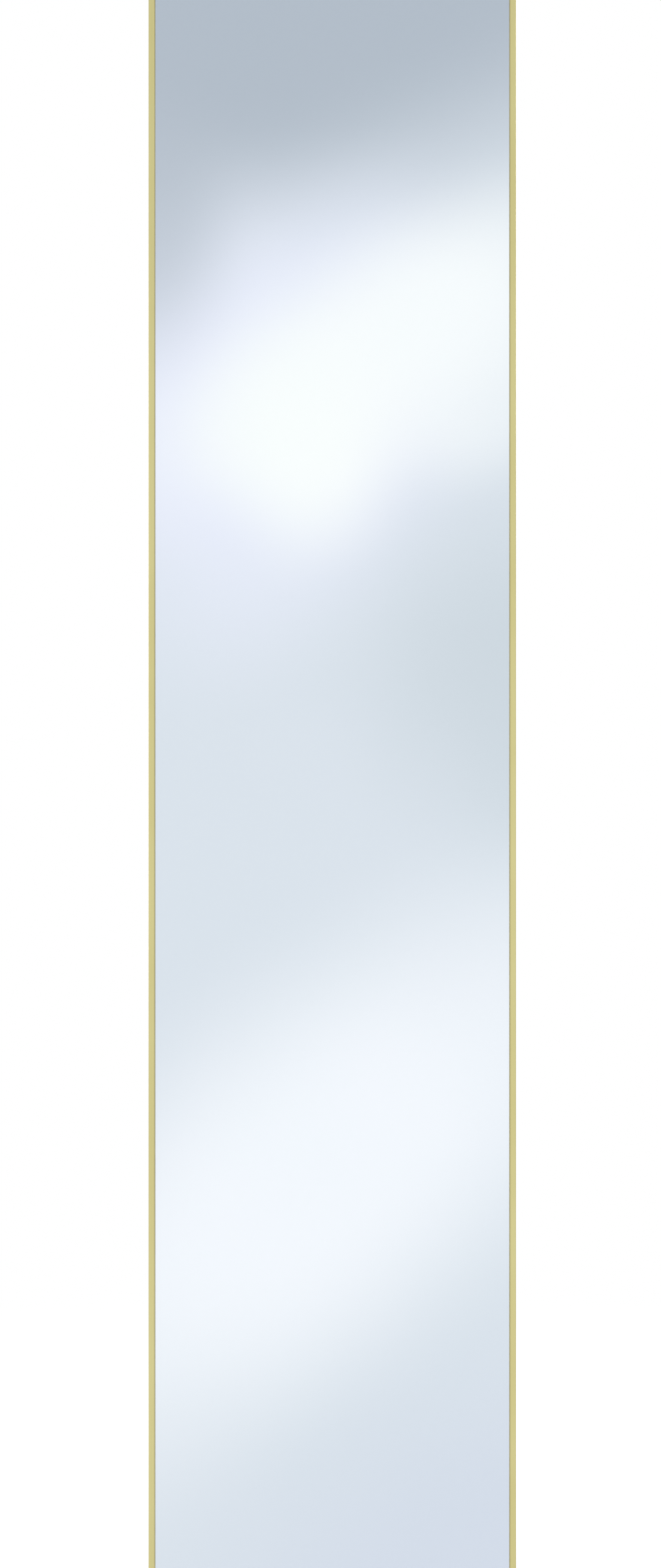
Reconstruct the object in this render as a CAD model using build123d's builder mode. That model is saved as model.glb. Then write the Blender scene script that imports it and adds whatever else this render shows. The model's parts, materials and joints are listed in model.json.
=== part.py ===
from build123d import *
import os

# Wall mirror in a slim extruded frame. Millimetres, +Z up, +X right, the glass faces -Y and the wall is
# the plane Y = 0. The origin is on the wall, midway between the two hooks that carry the rings.

# Overall size
width = 400.0
height = 1800.0
hook_drop = 240.0  # from the top edge down to the hooks

# Frame section, from its outer front edge
face = 7.0  # front lip, seen from the front
lip_thickness = 2.2
sight_edge = 0.4  # flat left beside the glass, below the rounded edge
arris_radius = 0.5
wall = 1.4
channel_width = 13.2
channel_wall = 1.2
channel_depth = 4.4
rear_lip = 2.0
rear_lip_thickness = 1.2
root_radius = 0.4

# Glazing pack, front to back
glass_thickness = 4.0
glass_arris = 0.4
film_thickness = 0.2
film_margin = 1.0
foam_thickness = 1.8
board_thickness = 3.0
spring_height = 2.0
pack_clearance = 0.8

# Bowed spring clips between the board and the channel's web
spring_thickness = 0.5
spring_width = 14.0
spring_setback = 0.6
spring_crest = 10.0
spring_slope = 9.0
spring_foot = 3.0
spring_toe = 2.4
spring_toe_lift = 0.7
spring_bend = 5.0
side_spring_pitch = 345.0
side_spring_count = 5
end_spring_pitch = 170.0
end_spring_count = 2

# Corner joint: tapped angle plate, shim and set screws inside the channel
plate_clearance = 0.5
plate_leg = 34.0
plate_thickness = 2.2
plate_nose = 2.0
plate_end_radius = 1.2
plate_crook_radius = 1.0
shim_thickness = 0.8
screw_radius = 2.0
thread_clearance = 0.05
set_screw_first = 16.0
set_screw_pitch = 10.5
set_screw_proud = 0.5
set_screw_chamfer = 0.3
slot_width = 0.8
slot_depth = 0.9

# Hanger: strap with rolled eye, clamp plate, screws and wire ring
strap_thickness = 1.2
strap_width = 12.0
strap_length = 41.0
strap_neck = 6.4
strap_neck_length = 6.0
strap_shoulder_radius = 1.2
strap_corner_radius = 3.5
strap_seam = 0.35
screw_hole_clearance = 0.2
hanger_screw_first = 22.0
hanger_screw_pitch = 12.5
head_radius = 3.6
head_height = 2.2
head_dome_radius = 1.2
recess_span = 4.2
recess_width = 1.0
recess_depth = 1.3
screw_tip = 0.6
screw_tip_chamfer = 0.4
clamp_margin = 6.0
wire = 2.2
ring_inner_width = 8.0
ring_bend = 1.6
ring_leg = 9.0
eye_clearance = 0.25

# Rubber bumpers on the channel lips
bumper_height = 6.0
bumper_radius = 6.0
bumper_rear_radius = 5.4
bumper_edge_radius = 0.9
bumper_inset = 50.0

# Worked out from the sizes above
rabbet = glass_thickness + film_thickness + foam_thickness + board_thickness + spring_height
web_at = lip_thickness + rabbet
lips_at = web_at + channel_wall + channel_depth
rail_depth = lips_at + rear_lip_thickness
rear_y = -bumper_height
front_y = rear_y - rail_depth
glass_y = front_y + lip_thickness
film_y = glass_y + glass_thickness
foam_y = film_y + film_thickness
board_y = foam_y + foam_thickness
spring_y = board_y + board_thickness
web_rear_y = front_y + web_at + channel_wall
plate_y = front_y + lips_at - plate_thickness
mid_z = hook_drop - height / 2
pack_width = width - 2 * (wall + pack_clearance)
pack_height = height - 2 * (wall + pack_clearance)
channel_centre = (wall + channel_width - channel_wall) / 2
plate_width = channel_width - channel_wall - wall - 2 * plate_clearance
plate_edge = wall + plate_clearance
eye_inner = wire / 2 + eye_clearance
eye_outer = eye_inner + strap_thickness
eye_height = strap_thickness + eye_inner
ring_half = (ring_inner_width + wire) / 2
ring_reach = ring_leg + ring_half - wire / 2
pivot_z = -ring_reach
hanger_x = width / 2 - channel_centre
low = (Align.MIN, Align.MIN)

os.makedirs("parts", exist_ok=True)


def save(piece, name):
    """Labels a finished piece and writes it."""
    piece.label = name
    export_step(piece, f"parts/{name}.step")


def rail_plane(inward):
    """Plane across one rail at its middle: x runs inward from the outer face, y from front to back."""
    reach = width / 2 if inward.X else height / 2
    middle = Vector(0, front_y, mid_z) - inward * reach
    return Plane(origin=middle, x_dir=inward, z_dir=inward.cross(Vector(0, 1, 0)))


def corner_plane(side_x, side_z, y):
    """Plane facing the wall at one outer corner, whose x and y run along the two rails."""
    across = Vector(-side_x, 0, 0)
    along = Vector(0, 0, -side_z)
    first = across if side_x * side_z < 0 else along
    origin = (side_x * width / 2, y, mid_z + side_z * height / 2)
    return Plane(origin=origin, x_dir=first, z_dir=(0, 1, 0))


inward_of = {
    "left": Vector(1, 0, 0),
    "right": Vector(-1, 0, 0),
    "top": Vector(0, 0, -1),
    "bottom": Vector(0, 0, 1),
}
corners = {
    "top_left": (-1, 1),
    "top_right": (1, 1),
    "bottom_left": (-1, -1),
    "bottom_right": (1, -1),
}


def rail(inward):
    """One mitred rail: rounded front lip, outer wall, glass rabbet and undercut rear channel."""
    across = rail_plane(inward)
    half_length = height / 2 if inward.X else width / 2
    inner_wall = channel_width - channel_wall
    with BuildPart() as bar:
        with BuildSketch(across) as section:
            Rectangle(wall, rail_depth, align=low)
            Rectangle(face, lip_thickness, align=low)
            with Locations((0, web_at)):
                Rectangle(channel_width, channel_wall, align=low)
            with Locations((inner_wall, web_at)):
                Rectangle(channel_wall, rail_depth - web_at, align=low)
            with Locations((0, lips_at)):
                Rectangle(wall + rear_lip, rear_lip_thickness, align=low)
            with Locations((inner_wall - rear_lip, lips_at)):
                Rectangle(channel_wall + rear_lip, rear_lip_thickness, align=low)
            sight = section.vertices().sort_by_distance((face, 0))[0]
            fillet(sight, lip_thickness - sight_edge)
            for spot in ((0, 0), (0, rail_depth), (channel_width, rail_depth), (channel_width, web_at)):
                fillet(section.vertices().sort_by_distance(spot)[0], arris_radius)
            roots = (
                (wall, lip_thickness),
                (wall, web_at),
                (wall, web_at + channel_wall),
                (inner_wall, web_at + channel_wall),
                (wall, lips_at),
                (inner_wall, lips_at),
            )
            for spot in roots:
                fillet(section.vertices().sort_by_distance(spot)[0], root_radius)
        extrude(amount=half_length, both=True)
        for end in (1, -1):
            tip = across.origin + across.z_dir * end * half_length
            split(bisect_by=Plane(origin=tip, z_dir=inward + across.z_dir * end), keep=Keep.BOTTOM)
    return bar.part


for side, inward in inward_of.items():
    save(rail(inward), f"rail_{side}")


def sheet_plane(y):
    """Plane facing the wall at the middle of the mirror, as seen from behind."""
    return Plane(origin=(0, y, mid_z), x_dir=(-1, 0, 0), z_dir=(0, 1, 0))


with BuildPart() as mirror_glass:
    with BuildSketch(sheet_plane(glass_y)):
        Rectangle(pack_width, pack_height)
    extrude(amount=glass_thickness)
    chamfer(mirror_glass.faces().filter_by(Axis.Y).edges(), glass_arris)
save(mirror_glass.part, "mirror_glass")

with BuildPart() as safety_film:
    with BuildSketch(sheet_plane(film_y)):
        Rectangle(pack_width - 2 * film_margin, pack_height - 2 * film_margin)
    extrude(amount=film_thickness)
save(safety_film.part, "safety_film")

with BuildPart() as foam_sheet:
    with BuildSketch(sheet_plane(foam_y)):
        Rectangle(pack_width - 2 * film_margin, pack_height - 2 * film_margin)
    extrude(amount=foam_thickness)
save(foam_sheet.part, "foam_sheet")

with BuildPart() as backing_board:
    with BuildSketch(sheet_plane(board_y)):
        Rectangle(pack_width, pack_height)
    extrude(amount=board_thickness)
save(backing_board.part, "backing_board")


def spring_clips(inward, pitch, count):
    """The springs under one rail's channel: a bow that stands on the board and presses on the web."""
    across = rail_plane(inward)
    start = across.origin + inward * (wall + spring_setback) + Vector(0, spring_y - front_y, 0)
    under = spring_thickness / 2
    crest = spring_height - under
    ends = [spring_crest / 2, spring_crest / 2 + spring_slope]
    ends += [ends[1] + spring_foot, ends[1] + spring_foot + spring_toe]
    right = list(zip(ends, (crest, under, under, under + spring_toe_lift)))
    left = [(-x, y) for x, y in reversed(right)]
    with BuildPart() as clips:
        for n in range(count):
            shift = across.z_dir * pitch * (n - (count - 1) / 2)
            with BuildSketch(Plane(origin=start + shift, x_dir=-across.z_dir, z_dir=inward)):
                with BuildLine():
                    FilletPolyline(*left, *right, radius=spring_bend)
                trace(line_width=spring_thickness)
            extrude(amount=spring_width)
    return clips.part


for side, inward in inward_of.items():
    pitch = side_spring_pitch if inward.X else end_spring_pitch
    count = side_spring_count if inward.X else end_spring_count
    save(spring_clips(inward, pitch, count), f"spring_clips_{side}")

# Set screws stand on the legs of each corner plate, measured along the rail from the outer corner
screw_line = plate_edge + plate_width / 2
leg_spots = [set_screw_first, set_screw_first + set_screw_pitch]
screw_spots = [(at, screw_line) for at in leg_spots] + [(screw_line, at) for at in leg_spots]


def corner_angle(plane, thickness, tapped):
    """L-shaped plate that fills both channels at a corner."""
    with BuildPart() as angle:
        with BuildSketch(plane) as outline:
            with Locations((plate_edge, plate_edge)):
                Rectangle(plate_leg, plate_width, align=low)
                Rectangle(plate_width, plate_leg, align=low)
            nose = outline.vertices().sort_by_distance((plate_edge, plate_edge))[0]
            chamfer(nose, plate_nose)
            inner = plate_edge + plate_width
            crook = outline.vertices().sort_by_distance((inner, inner))[0]
            fillet(crook, plate_crook_radius)
            tip = plate_edge + plate_leg
            for spot in ((tip, plate_edge), (tip, inner), (plate_edge, tip), (inner, tip)):
                fillet(outline.vertices().sort_by_distance(spot)[0], plate_end_radius)
            if tapped:
                with Locations(*screw_spots):
                    Circle(screw_radius + thread_clearance, mode=Mode.SUBTRACT)
        extrude(amount=thickness)
    return angle.part


for name, (side_x, side_z) in corners.items():
    plate = corner_angle(corner_plane(side_x, side_z, plate_y), plate_thickness, True)
    save(plate, f"corner_plate_{name}")
    shim = corner_angle(corner_plane(side_x, side_z, web_rear_y), shim_thickness, False)
    save(shim, f"corner_shim_{name}")

set_screw_y = web_rear_y + shim_thickness
set_screw_length = plate_y + plate_thickness + set_screw_proud - set_screw_y

with BuildPart() as corner_screws:
    for side_x, side_z in corners.values():
        with BuildSketch(corner_plane(side_x, side_z, set_screw_y)):
            with Locations(*screw_spots):
                Circle(screw_radius)
        extrude(amount=set_screw_length)
    chamfer(corner_screws.faces().filter_by(Axis.Y).edges(), set_screw_chamfer)
    for side_x, side_z in corners.values():
        with BuildSketch(corner_plane(side_x, side_z, set_screw_y + set_screw_length - slot_depth)):
            with Locations(*screw_spots):
                Rectangle(2 * screw_radius, slot_width)
        extrude(amount=slot_depth, mode=Mode.SUBTRACT)
save(corner_screws.part, "corner_screws")

hanger_spots = [hanger_screw_first, hanger_screw_first + hanger_screw_pitch]
clamp_length = hanger_screw_pitch + 2 * clamp_margin


def hanger_plane(x, y):
    """Plane facing the wall at a ring's pivot height, whose x runs down the rail."""
    return Plane(origin=(x, y, pivot_z), x_dir=(0, 0, -1), z_dir=(0, 1, 0))


def hanger_strap(x):
    """Strap on the channel's lips, its upper end narrowed and rolled into an eye for the ring."""
    with BuildPart() as strap:
        with BuildSketch(Plane(origin=(x, rear_y, pivot_z), x_dir=(0, 0, -1), z_dir=(1, 0, 0))):
            Rectangle(strap_length, strap_thickness, align=low)
            with Locations((0, eye_height)):
                Circle(eye_outer)
                Circle(eye_inner, mode=Mode.SUBTRACT)
            with Locations((0, strap_thickness)):
                Rectangle(eye_outer, strap_seam, align=low, mode=Mode.SUBTRACT)
        extrude(amount=strap_width / 2, both=True)
        with BuildSketch(hanger_plane(x, rear_y)) as outline:
            with Locations((-eye_outer, 0)):
                neck = eye_outer + strap_neck_length
                Rectangle(neck, strap_neck, align=(Align.MIN, Align.CENTER))
            with Locations((strap_neck_length, 0)):
                body = strap_length - strap_neck_length
                Rectangle(body, strap_width, align=(Align.MIN, Align.CENTER))
            step = (strap_width - strap_neck) / 2
            shoulder_radius = min(strap_shoulder_radius, 0.45 * step)
            for edge in (-1, 1):
                for spot, radius in (
                    ((strap_neck_length, edge * strap_neck / 2), shoulder_radius),
                    ((strap_neck_length, edge * strap_width / 2), shoulder_radius),
                    ((strap_length, edge * strap_width / 2), strap_corner_radius),
                ):
                    fillet(outline.vertices().sort_by_distance(spot)[0], radius)
            with Locations(*[(at, 0) for at in hanger_spots]):
                Circle(screw_radius + screw_hole_clearance, mode=Mode.SUBTRACT)
        extrude(amount=eye_height + eye_outer, mode=Mode.INTERSECT)
    return strap.part


def hanger_clamp(x):
    """Tapped plate inside the channel, behind the strap."""
    with BuildPart() as clamp:
        with BuildSketch(hanger_plane(x, plate_y)) as outline:
            with Locations((sum(hanger_spots) / 2, 0)):
                Rectangle(clamp_length, plate_width)
            fillet(outline.vertices(), plate_end_radius)
            with Locations(*[(at, 0) for at in hanger_spots]):
                Circle(screw_radius + thread_clearance, mode=Mode.SUBTRACT)
        extrude(amount=plate_thickness)
    return clamp.part


def hanger_ring(x):
    """Closed wire ring, stored hanging plumb from the eye."""
    flat = Plane(origin=(x, rear_y + eye_height, pivot_z), x_dir=(-1, 0, 0), z_dir=(0, 1, 0))
    inner = ring_half - ring_bend
    with BuildPart() as ring:
        with BuildLine(flat) as loop:
            Line((-inner, 0), (inner, 0))
            CenterArc((inner, -ring_bend), ring_bend, 90, -90)
            Line((ring_half, -ring_bend), (ring_half, -ring_leg))
            CenterArc((0, -ring_leg), ring_half, 0, -180)
            Line((-ring_half, -ring_leg), (-ring_half, -ring_bend))
            CenterArc((-inner, -ring_bend), ring_bend, 180, -90)
        with BuildSketch(Plane(origin=loop.line @ 0, z_dir=loop.line % 0)):
            Circle(wire / 2)
        sweep(path=loop.line)
    return ring.part


for side, x in (("left", -hanger_x), ("right", hanger_x)):
    save(hanger_strap(x), f"hanger_strap_{side}")
    save(hanger_clamp(x), f"hanger_clamp_{side}")
    save(hanger_ring(x), f"hanger_ring_{side}")

strap_rear_y = rear_y + strap_thickness
shank_length = strap_thickness + rear_lip_thickness + plate_thickness + screw_tip

with BuildPart() as hanger_screws:
    for x in (-hanger_x, hanger_x):
        spots = [(at, 0) for at in hanger_spots]
        with BuildSketch(hanger_plane(x, strap_rear_y)):
            with Locations(*spots):
                Circle(head_radius)
        extrude(amount=head_height)
        with BuildSketch(hanger_plane(x, strap_rear_y)):
            with Locations(*spots):
                Circle(screw_radius)
        extrude(amount=-shank_length)
    ends = hanger_screws.faces().filter_by(Axis.Y).sort_by(Axis.Y)
    fillet(ends[-len(hanger_spots) * 2 :].edges(), head_dome_radius)
    chamfer(ends[: len(hanger_spots) * 2].edges(), screw_tip_chamfer)
    for x in (-hanger_x, hanger_x):
        with BuildSketch(hanger_plane(x, strap_rear_y + head_height - recess_depth)):
            with Locations(*[(at, 0) for at in hanger_spots]):
                Rectangle(recess_span, recess_width)
                Rectangle(recess_width, recess_span)
        extrude(amount=recess_depth, mode=Mode.SUBTRACT)
save(hanger_screws.part, "hanger_screws")


def wall_bumper(side_x, side_z):
    """Rubber foot on the channel's lips, tapered towards the wall."""
    centre = (side_x * hanger_x, rear_y, mid_z + side_z * (height / 2 - bumper_inset))
    base = ((0, 0), (bumper_radius, 0))
    tip = ((bumper_rear_radius, bumper_height), (0, bumper_height))
    with BuildPart() as bumper:
        with BuildSketch(Plane(origin=centre, x_dir=(1, 0, 0), z_dir=(0, 0, 1))):
            with BuildLine():
                Polyline(*base, *tip, close=True)
            make_face()
        revolve(axis=Axis(centre, (0, 1, 0)))
        fillet(bumper.faces().sort_by(Axis.Y)[-1].edges(), bumper_edge_radius)
    return bumper.part


for name, (side_x, side_z) in corners.items():
    save(wall_bumper(side_x, side_z), f"wall_bumper_{name}")
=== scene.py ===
import json
import logging
import math
from contextlib import contextmanager
from dataclasses import dataclass, field
from enum import Enum
from typing import Any, Callable, Iterator, Sequence

import bmesh
import bpy
from mathutils import Matrix, Vector


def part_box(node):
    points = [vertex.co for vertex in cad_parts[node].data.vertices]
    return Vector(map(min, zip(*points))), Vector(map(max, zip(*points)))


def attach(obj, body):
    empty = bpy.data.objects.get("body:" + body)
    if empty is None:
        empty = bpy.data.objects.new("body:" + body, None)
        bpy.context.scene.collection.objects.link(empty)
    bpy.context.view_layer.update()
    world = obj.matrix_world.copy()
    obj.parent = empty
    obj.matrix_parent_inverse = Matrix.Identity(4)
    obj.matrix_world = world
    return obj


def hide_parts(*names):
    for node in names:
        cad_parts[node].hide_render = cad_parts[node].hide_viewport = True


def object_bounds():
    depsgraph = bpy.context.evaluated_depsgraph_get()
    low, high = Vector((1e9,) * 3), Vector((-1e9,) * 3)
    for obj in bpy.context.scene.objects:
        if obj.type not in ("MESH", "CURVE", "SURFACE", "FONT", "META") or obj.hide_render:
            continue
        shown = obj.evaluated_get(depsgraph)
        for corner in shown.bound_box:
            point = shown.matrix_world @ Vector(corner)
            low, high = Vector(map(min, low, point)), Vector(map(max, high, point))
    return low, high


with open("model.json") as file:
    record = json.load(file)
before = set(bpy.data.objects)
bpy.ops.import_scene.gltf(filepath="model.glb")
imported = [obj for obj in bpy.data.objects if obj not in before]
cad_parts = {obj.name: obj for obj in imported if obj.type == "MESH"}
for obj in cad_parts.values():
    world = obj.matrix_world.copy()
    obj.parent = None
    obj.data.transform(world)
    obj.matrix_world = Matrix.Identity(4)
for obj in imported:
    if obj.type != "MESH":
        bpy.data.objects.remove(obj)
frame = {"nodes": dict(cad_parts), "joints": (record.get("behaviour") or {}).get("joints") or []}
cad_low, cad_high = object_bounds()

log = logging.getLogger("wall_mirror")

MM = 0.001
PICTURE = (880, 2086)  # the picture's width and height in pixels
HAIR = 1e-6  # slack when two places are compared, in metres
FAR = 9.0  # further off than any piece reaches, in metres
FLAT = 0.001  # faces that turn by less than this, in radians, count as one flat
FACING = 0.9  # a face looks along an axis where its normal has more than this along it
HOLE_SIDES = 28  # how many sides the outline of a drilled hole has
NOISE = (0.3, 0.7)  # the span that holds nearly every value of a noise
MID_NOISE = (0.35, 0.65)  # the span that holds most of them
WHITE = (1.0, 1.0, 1.0)

Spot = tuple[float, float]
Colour = tuple[float, float, float]
Piece = bpy.types.Object
Finish = bpy.types.Material
Socket = bpy.types.NodeSocket


class Pick(Enum):
    """What is being picked while a piece is open for editing."""

    POINTS = "VERT"
    EDGES = "EDGE"
    FACES = "FACE"


class Grain(Enum):
    """The way the fine drawing lines of a rail run."""

    UPRIGHT = (1.0, 1.0, 0.004)
    LEVEL = (0.004, 1.0, 1.0)


class Side(Enum):
    """The four sides of the frame, each with the turn that brings the left rail's drawing there."""

    LEFT = 0.0
    RIGHT = 180.0
    TOP = 90.0
    BOTTOM = -90.0

    @property
    def label(self) -> str:
        """The side's name as the parts use it."""
        return self.name.lower()

    @property
    def upright(self) -> bool:
        """Whether the rail on this side stands upright."""
        return self in (Side.LEFT, Side.RIGHT)


class Corner(Enum):
    """The four corners, each with the turn that brings the top left one's drawing there."""

    TOP_LEFT = 0.0
    TOP_RIGHT = 90.0
    BOTTOM_RIGHT = 180.0
    BOTTOM_LEFT = 270.0

    @property
    def label(self) -> str:
        """The corner's name as the parts use it."""
        return self.name.lower()

    @property
    def signs(self) -> tuple[int, int]:
        """Which way the corner lies from the middle, across and up, each -1 or 1."""
        return -1 if "LEFT" in self.name else 1, 1 if "TOP" in self.name else -1


# The workshop: small helpers for shaping pieces by hand


def paint(red: int, green: int, blue: int) -> Colour:
    """Turns a colour as it is seen on a screen into the linear values that shaders use.

    Args:
        red: Red from 0 to 255.
        green: Green from 0 to 255.
        blue: Blue from 0 to 255.

    Returns:
        The same colour, linear, each channel from 0 to 1.
    """
    seen = [value / 255 for value in (red, green, blue)]
    return tuple(v / 12.92 if v <= 0.04045 else ((v + 0.055) / 1.055) ** 2.4 for v in seen)


def clear_bench() -> None:
    """Leaves edit mode and deselects every object."""
    if bpy.context.object and bpy.context.object.mode != "OBJECT":
        bpy.ops.object.mode_set(mode="OBJECT")
    bpy.ops.object.select_all(action="DESELECT")


def take_up(piece: Piece) -> None:
    """Makes one object the only selected and the active one.

    Args:
        piece: The object.
    """
    clear_bench()
    piece.select_set(True)
    bpy.context.view_layer.objects.active = piece


@contextmanager
def opened(piece: Piece, pick: Pick = Pick.FACES) -> Iterator[None]:
    """Opens a piece for editing with nothing selected, and closes it again.

    Args:
        piece: The mesh object to shape.
        pick: Whether points, edges or faces are picked.

    Returns:
        A context in which the mesh operators act on the piece.
    """
    take_up(piece)
    bpy.ops.object.mode_set(mode="EDIT")
    bpy.ops.mesh.select_mode(type=pick.value)
    bpy.ops.mesh.select_all(action="DESELECT")
    yield
    bpy.ops.object.mode_set(mode="OBJECT")


def pick_all() -> None:
    """Selects everything in the piece that is open."""
    bpy.ops.mesh.select_all(action="SELECT")


def choose(piece: Piece, pick: Pick, test: Callable[[Any], bool]) -> None:
    """Selects the points, edges or faces that pass a test, and nothing else.

    Args:
        piece: The mesh object, open for editing.
        pick: What is tested.
        test: Takes a point, edge or face and says whether it is wanted.
    """
    bpy.ops.mesh.select_mode(type=pick.value)
    bpy.ops.mesh.select_all(action="DESELECT")
    mesh = bmesh.from_edit_mesh(piece.data)
    every = {Pick.POINTS: mesh.verts, Pick.EDGES: mesh.edges, Pick.FACES: mesh.faces}[pick]
    for part in every:
        if test(part):
            part.select_set(True)
    mesh.select_flush_mode()
    bmesh.update_edit_mesh(piece.data)


def within(low: Sequence[float], high: Sequence[float]) -> Callable[[Any], bool]:
    """Makes a test for edges or faces that lie wholly inside a box.

    Args:
        low: The box's lowest corner.
        high: The box's highest corner.

    Returns:
        A test for choose().
    """
    return lambda part: all(
        a - HAIR <= c <= b + HAIR for v in part.verts for a, c, b in zip(low, v.co, high)
    )


def at_level(axis: int, place: float) -> Callable[[Any], bool]:
    """Makes a test for edges or faces that lie wholly at one place along an axis.

    Args:
        axis: 0, 1 or 2 for X, Y or Z.
        place: The place along that axis.

    Returns:
        A test for choose().
    """
    return lambda part: all(abs(v.co[axis] - place) < HAIR for v in part.verts)


def pull(move: Sequence[float]) -> None:
    """Extrudes the selected points, edges or faces by a move in metres."""
    bpy.ops.mesh.extrude_region_move(TRANSFORM_OT_translate={"value": tuple(move)})


def round_off(radius: float, steps: int) -> None:
    """Rounds the selected edges to a radius, in so many steps."""
    bpy.ops.mesh.bevel(offset=radius, segments=steps, profile=0.5, affect="EDGES", clamp_overlap=False)


def slice_off(at: Sequence[float], outward: Sequence[float]) -> None:
    """Cuts the whole piece by a plane, drops what is outside and closes the cut.

    Args:
        at: A point on the plane.
        outward: The plane's normal, towards what is dropped.
    """
    pick_all()
    bpy.ops.mesh.bisect(
        plane_co=tuple(at), plane_no=tuple(outward), use_fill=True, clear_outer=True, threshold=HAIR
    )


def score(at: Sequence[float], across: Sequence[float]) -> None:
    """Marks the whole piece with edges along a plane, and cuts nothing off.

    Args:
        at: A point on the plane.
        across: The plane's normal.
    """
    pick_all()
    bpy.ops.mesh.bisect(plane_co=tuple(at), plane_no=tuple(across), threshold=HAIR)


def melt() -> None:
    """Dissolves the edges that lie inside the open piece's flats."""
    pick_all()
    bpy.ops.mesh.dissolve_limited(angle_limit=FLAT)


def settle(piece: Piece, name: str) -> Piece:
    """Names a piece and puts its place, turn and size into its mesh.

    Args:
        piece: The piece.
        name: Its new name.

    Returns:
        The same piece, at the origin.
    """
    piece.name = piece.data.name = name
    take_up(piece)
    bpy.ops.object.transform_apply(location=True, rotation=True, scale=True)
    return piece


def block(name: str, low: Sequence[float], high: Sequence[float]) -> Piece:
    """Adds a block between two corners.

    Args:
        name: The piece's name.
        low: The lowest corner.
        high: The highest corner.

    Returns:
        The new object, at the origin.
    """
    clear_bench()
    middle = [(a + b) / 2 for a, b in zip(low, high)]
    bpy.ops.mesh.primitive_cube_add(size=1.0, location=middle, scale=[b - a for a, b in zip(low, high)])
    return settle(bpy.context.object, name)


def sheet(name: str, middle: Sequence[float], width: float, length: float, standing: bool) -> Piece:
    """Adds a flat sheet whose width runs along X.

    Args:
        name: The piece's name.
        middle: The middle of the sheet.
        width: Its width.
        length: Its length, along Y, or along Z where it stands.
        standing: Whether it stands upright.

    Returns:
        The new object, at the origin.
    """
    clear_bench()
    turn = (math.pi / 2 if standing else 0, 0, 0)
    bpy.ops.mesh.primitive_plane_add(size=1.0, location=tuple(middle), rotation=turn)
    bpy.context.object.scale = (width, length, 1)
    return settle(bpy.context.object, name)


def disc_bar(name: str, centre: Sequence[float], radius: float, length: float, sides: int) -> Piece:
    """Adds a round bar whose axis runs from front to back.

    Args:
        name: The piece's name.
        centre: The middle of the bar.
        radius: Its radius.
        length: Its length from front to back.
        sides: How many sides its outline has.

    Returns:
        The new object, at the origin.
    """
    clear_bench()
    bpy.ops.mesh.primitive_cylinder_add(
        vertices=sides, radius=radius, depth=length, location=tuple(centre), rotation=(math.pi / 2, 0, 0)
    )
    return settle(bpy.context.object, name)


def twin(piece: Piece, name: str, place: Matrix) -> Piece:
    """Copies a piece with a mesh of its own and moves the copy.

    Args:
        piece: The piece to copy.
        name: The copy's name.
        place: Where the copy goes from the first one's place.

    Returns:
        The copy, with its place in its mesh.
    """
    copy = piece.copy()
    copy.data = piece.data.copy()
    bpy.context.scene.collection.objects.link(copy)
    copy.matrix_world = place
    return settle(copy, name)


def with_modifier(piece: Piece, kind: str, **settings: Any) -> None:
    """Adds one modifier to a piece and applies it.

    Args:
        piece: The piece.
        kind: The modifier's type.
        settings: The modifier's own settings.
    """
    take_up(piece)
    modifier = piece.modifiers.new(kind.title(), kind)
    for key, value in settings.items():
        setattr(modifier, key, value)
    bpy.ops.object.modifier_apply(modifier=modifier.name)


def break_edges(piece: Piece, width: float, above: float) -> None:
    """Takes the sharpness off a piece's edges.

    Args:
        piece: The piece.
        width: How wide an edge is broken.
        above: Only edges that turn by more than this are broken, in radians.
    """
    with_modifier(piece, "BEVEL", width=width, segments=2, limit_method="ANGLE", angle_limit=above)


def scrap(*pieces: Piece) -> None:
    """Throws pieces away."""
    for piece in pieces:
        bpy.data.objects.remove(piece)


def carve(piece: Piece, cutter: Piece) -> None:
    """Cuts one piece out of another and throws the cutter away."""
    with_modifier(piece, "BOOLEAN", object=cutter, operation="DIFFERENCE", solver="EXACT")
    scrap(cutter)


def joined(pieces: Sequence[Piece], name: str) -> Piece:
    """Joins several pieces into one.

    Args:
        pieces: The pieces to join.
        name: The name of the whole.

    Returns:
        The joined object.
    """
    take_up(pieces[0])
    for piece in pieces:
        piece.select_set(True)
    bpy.ops.object.join()
    return settle(bpy.context.object, name)


def smooth(piece: Piece, degrees: float = 30.0) -> None:
    """Shades a piece smooth and keeps its flats flat.

    Args:
        piece: The piece.
        degrees: Edges that turn by more than this stay sharp.
    """
    take_up(piece)
    bpy.ops.object.shade_smooth_by_angle(angle=math.radians(degrees))
    with_modifier(piece, "WEIGHTED_NORMAL", keep_sharp=True, weight=90)


def tidy(piece: Piece) -> None:
    """Merges doubled points and turns every face outwards.

    Args:
        piece: The piece.
    """
    with opened(piece):
        pick_all()
        bpy.ops.mesh.remove_doubles(threshold=HAIR)
        bpy.ops.mesh.normals_make_consistent(inside=False)


def spun(axis: str, degrees: float) -> Matrix:
    """A turn about one axis, by degrees."""
    return Matrix.Rotation(math.radians(degrees), 4, axis)


def hand_over(
    piece: Piece, finishes: Sequence[Finish], stands_for: str, body: str = "mirror"
) -> None:
    """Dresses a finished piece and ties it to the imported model.

    Args:
        piece: The finished piece.
        finishes: Its materials, in the order of its faces' indices.
        stands_for: The node that it replaces.
        body: The body it rides on.
    """
    if not piece.data.materials:
        for finish in finishes:
            piece.data.materials.append(finish)
    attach(piece, body)
    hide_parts(stands_for)
    log.info("%s: %d faces, on %s, for %s", piece.name, len(piece.data.polygons), body, stands_for)


def dress(node: str, finish: Finish) -> None:
    """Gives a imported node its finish.

    Args:
        node: The node's name.
        finish: The material.
    """
    piece = frame["nodes"][node]
    piece.data.materials.clear()
    piece.data.materials.append(finish)
    log.info("%s: dressed in %s", node, finish.name)


# Finishes


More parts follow.
